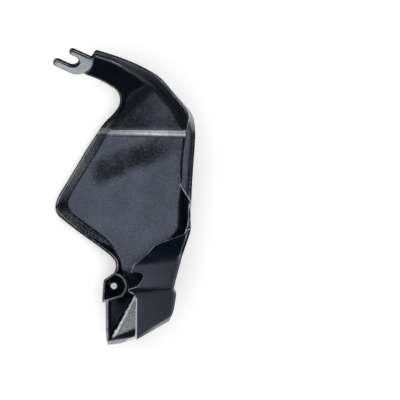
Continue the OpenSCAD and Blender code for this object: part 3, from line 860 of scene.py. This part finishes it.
def arm_gloss(n):
    """What the arm adds to the roughness: glossy where it slopes, dull where it is level, left of
    its lit part and at the foot of its outer wall."""
    in_arm = n.zone(y=(156, 160))
    sloping = n.product(in_arm, n.span(n.nz, 0.975, 0.92, 0, -0.13))
    level = n.product(in_arm, n.zone(nz=(0.93, 0.97)), n.span(n.x, 60, 0, 0.13, 0.34),
                      n.span(n.cloud, 0.3, 0.65, 0.7, 1.2), n.span(n.mottle, 0.35, 0.65, 0.7, 1.3))
    left = n.product(in_arm, n.zone(0.3, nz=(0.925, 0.955)),
                     n.span(n.past(n.y, n.x, 0.918, 157.8), -4, 5))
    foot = n.product(in_arm, n.zone(0.4, nx=(0.24, 0.08), nz=(0.99, 0.955), x=(-2, 14)))
    return n.total(sloping, level, left, foot)


def wall_gloss(n):
    """What the tops of the near wall and the block, the dip and the screw cup add to it."""
    top = n.product(n.zone(z=(46.5, 49.2)), n.span(n.y, 60, 50, 0.04, 1),
                    n.span(n.x, 20, 60, 0.1, 0.2), n.span(n.y, 2, -4, 1, 1.6))
    dip = n.zone(-0.05, z=(30, 34, 48.4, 49.6), y=(21, 26, 80, 90))
    cup = n.product(n.zone(z=(20, 18), y=(-17, -15, 14, 16), x=(14, 12)),
                    n.span(n.nz, 0.97, 0.99, -0.08, 0.6))
    return n.total(top, dip, cup)


def black_plastic():
    """Satin black moulded plastic: mottled, fine-grained, with pale scuffs and rubbed edges, and
    painted highlights on edges, the ledge, the fork, the block and the box's slope.
    """
    material, n, shader = new_material("black_plastic", Skin)
    # Pale marks: rubbed edges and scuffs, with painted highlights on the edges, the slope, the
    # block's edge and the outer corner
    rubbed_and_lit = n.total(n.product(edge_rub_and_highlight(n), EDGE_RUB_AND_HIGHLIGHT), n.product(slope_scuffs_and_light(n), SLOPE_SCUFF_AND_LIGHT),
                   n.product(pale_tip(n), TIP_PALE), n.product(block_edge_highlight(n), END_HIGHLIGHT),
                   n.product(corner_rub_and_highlight(n), CORNER_RUB_AND_HIGHLIGHT))
    # Painted highlights on the ledge and the fork, which keep their gloss
    pale = n.math("ADD", rubbed_and_lit, n.total(ledge_highlight(n), fork_highlight(n)), clamp=True)
    n.feed(shader.inputs["Base Color"], n.mix(pale, PLASTIC, RUB_AND_HIGHLIGHT_COLOUR))

    rough = n.total(n.span(n.cloud, 0.3, 0.7, ROUGH_LOW, ROUGH_HIGH),
                    n.span(n.mottle, 0.3, 0.7, -0.025, 0.025),
                    n.product(dull_patch(n), ROUGH_PATCH), n.product(rubbed_and_lit, ROUGH_RUBBED_AND_LIT),
                    n.product(outer_shoulder(n), ROUGH_SHOULDER), arm_gloss(n), wall_gloss(n))
    n.feed(shader.inputs["Roughness"], rough)
    shader.inputs["IOR"].default_value = 1.5

    # Fine grain of the mould, and slow waves that bend the reflections
    bump = n.add("ShaderNodeBump")
    bump.inputs["Strength"].default_value = 0.35
    bump.inputs["Distance"].default_value = 0.0004
    grain = n.total(n.noise(n.place, 900, 2), n.product(n.noise(n.place, 60, 2), 2.2),
                    n.product(rubbed_and_lit, n.grit, 1.5))
    n.feed(bump.inputs["Height"], grain)
    n.feed(shader.inputs["Normal"], bump.outputs["Normal"])
    return material


guard = shell()
guard.data.materials.append(black_plastic())
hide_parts("hand_guard")
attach(guard, "root")


# ---------------------------------------------------------------- stage, light and camera

# The photograph's frame is 400 mm wide at the guard, and this is the point at its middle, in m
VIEW_CENTRE = Vector((0.0862, 0.086, 0.0))
VIEW_WIDTH = 0.4
CAMERA_HEIGHT = 8.0
CLIP_END = 20
SENSOR = 36

# White floor: half its width and how far it lies under the guard, in m, its colour, and how much
# brighter the camera sees it
FLOOR_HALF = 3.0
FLOOR_GAP = 0.0002
FLOOR_COLOUR = (0.86, 0.86, 0.86, 1)
FLOOR_ROUGH = 0.6
FLOOR_GLOW = 0.32
WHITE = (1, 1, 1, 1)

# How bright the studio looks in the gloss, where 1 is white: overhead, round that, elsewhere, and
# low down
OVERHEAD = 4.3
HALO = 0.4
OVERHEAD_COLOUR = (0.74, 0.81, 1, 1)
DARK = 0.03
LOW = 0.6
STUDIO_COLOUR = (0.92, 0.97, 1, 1)
# Softboxes that stand round the guard: heading in degrees from X, half width and edge in degrees,
# height from and to as the sine of the elevation, and brightness
SOFTBOXES = [
    (-90, 4, 11, 0.02, 0.38, 11),
    (-29, 12, 20, -0.15, 0.42, 6.5),
    (33, 11, 20, -0.3, 0.44, 14),
    (-33, 14, 24, 0.82, 0.95, 1.6),
    (-66, 8, 17, -1, 0.5, 2.4),
    (-131, 20, 35, -1, 0.1, 2.5),
]


def floor():
    h = FLOOR_HALF
    obj = mesh_object("floor", [(-h, -h, 0), (h, -h, 0), (h, h, 0), (-h, h, 0)], [(0, 1, 2, 3)])
    obj.location.z = cad_bounds[0][2] - FLOOR_GAP
    material, n, shader = new_material("floor_white")
    shader.inputs["Base Color"].default_value = FLOOR_COLOUR
    shader.inputs["Roughness"].default_value = FLOOR_ROUGH
    shader.inputs["Specular IOR Level"].default_value = 0
    shader.inputs["Emission Color"].default_value = WHITE
    seen = n.add("ShaderNodeLightPath").outputs["Is Camera Ray"]
    n.feed(shader.inputs["Emission Strength"], n.product(seen, FLOOR_GLOW))
    obj.data.materials.append(material)
    obj.visible_glossy = False


def softbox(n, heading, height, angle, half, edge, low, high, gain):
    """Brightness of one softbox, as it shows in the gloss."""
    turn = math.radians(angle)
    towards = n.vector("DOT_PRODUCT", heading, (math.cos(turn), math.sin(turn), 0))
    rim, core = math.cos(math.radians(edge)), math.cos(math.radians(half))
    return n.product(n.span(towards, rim, core, 0, gain), n.span(height, low - 0.05, low + 0.05),
                     n.span(height, high + 0.08, high - 0.08))


def glow(n, colour, strength):
    node = n.add("ShaderNodeBackground")
    node.inputs["Color"].default_value = colour
    n.feed(node.inputs["Strength"], strength)
    return node.outputs[0]


def lights():
    """A white studio, which shows in the gloss as dark, with softboxes overhead and all round."""
    world = bpy.data.worlds.new("studio")
    bpy.context.scene.world = world
    world.use_nodes = True
    n = Nodes(world.node_tree)
    direction = n.add("ShaderNodeTexCoord").outputs["Generated"]
    height = n.split(direction)[2]
    heading = n.vector("NORMALIZE", n.vector("MULTIPLY", direction, (1, 1, 0)))
    to_x, to_y, _ = n.split(heading)

    halo = n.product(n.span(height, 0.78, 0.97, 0, HALO), n.span(to_y, 0.85, 0.4))
    above = n.math("ADD", n.span(height, 0.972, 0.992, 0, OVERHEAD), halo)
    low_down = n.product(n.span(height, 0.03, -0.12), n.span(to_x, 0.35, -0.1, 0, LOW),
                         n.span(to_y, 0, 0.5))
    around = n.total(low_down, DARK, *(softbox(n, heading, height, *box) for box in SOFTBOXES))

    gloss = n.add("ShaderNodeAddShader")
    n.feed(gloss.inputs[0], glow(n, STUDIO_COLOUR, around))
    n.feed(gloss.inputs[1], glow(n, OVERHEAD_COLOUR, above))
    mix = n.add("ShaderNodeMixShader")
    n.feed(mix.inputs["Fac"], n.add("ShaderNodeLightPath").outputs["Is Glossy Ray"])
    n.feed(mix.inputs[1], glow(n, WHITE, 1))
    n.feed(mix.inputs[2], gloss.outputs[0])
    n.feed(world.node_tree.nodes["World Output"].inputs["Surface"], mix.outputs[0])
    world.node_tree.nodes.remove(world.node_tree.nodes["Background"])


def camera():
    data = bpy.data.cameras.new("camera")
    data.sensor_width = SENSOR
    data.lens = SENSOR * CAMERA_HEIGHT / VIEW_WIDTH
    data.clip_end = CLIP_END
    obj = bpy.data.objects.new("camera", data)
    bpy.context.scene.collection.objects.link(obj)
    obj.location = VIEW_CENTRE + Vector((0, 0, CAMERA_HEIGHT))
    bpy.context.scene.camera = obj


floor()
lights()
camera()
bpy.context.scene.view_settings.view_transform = "Standard"
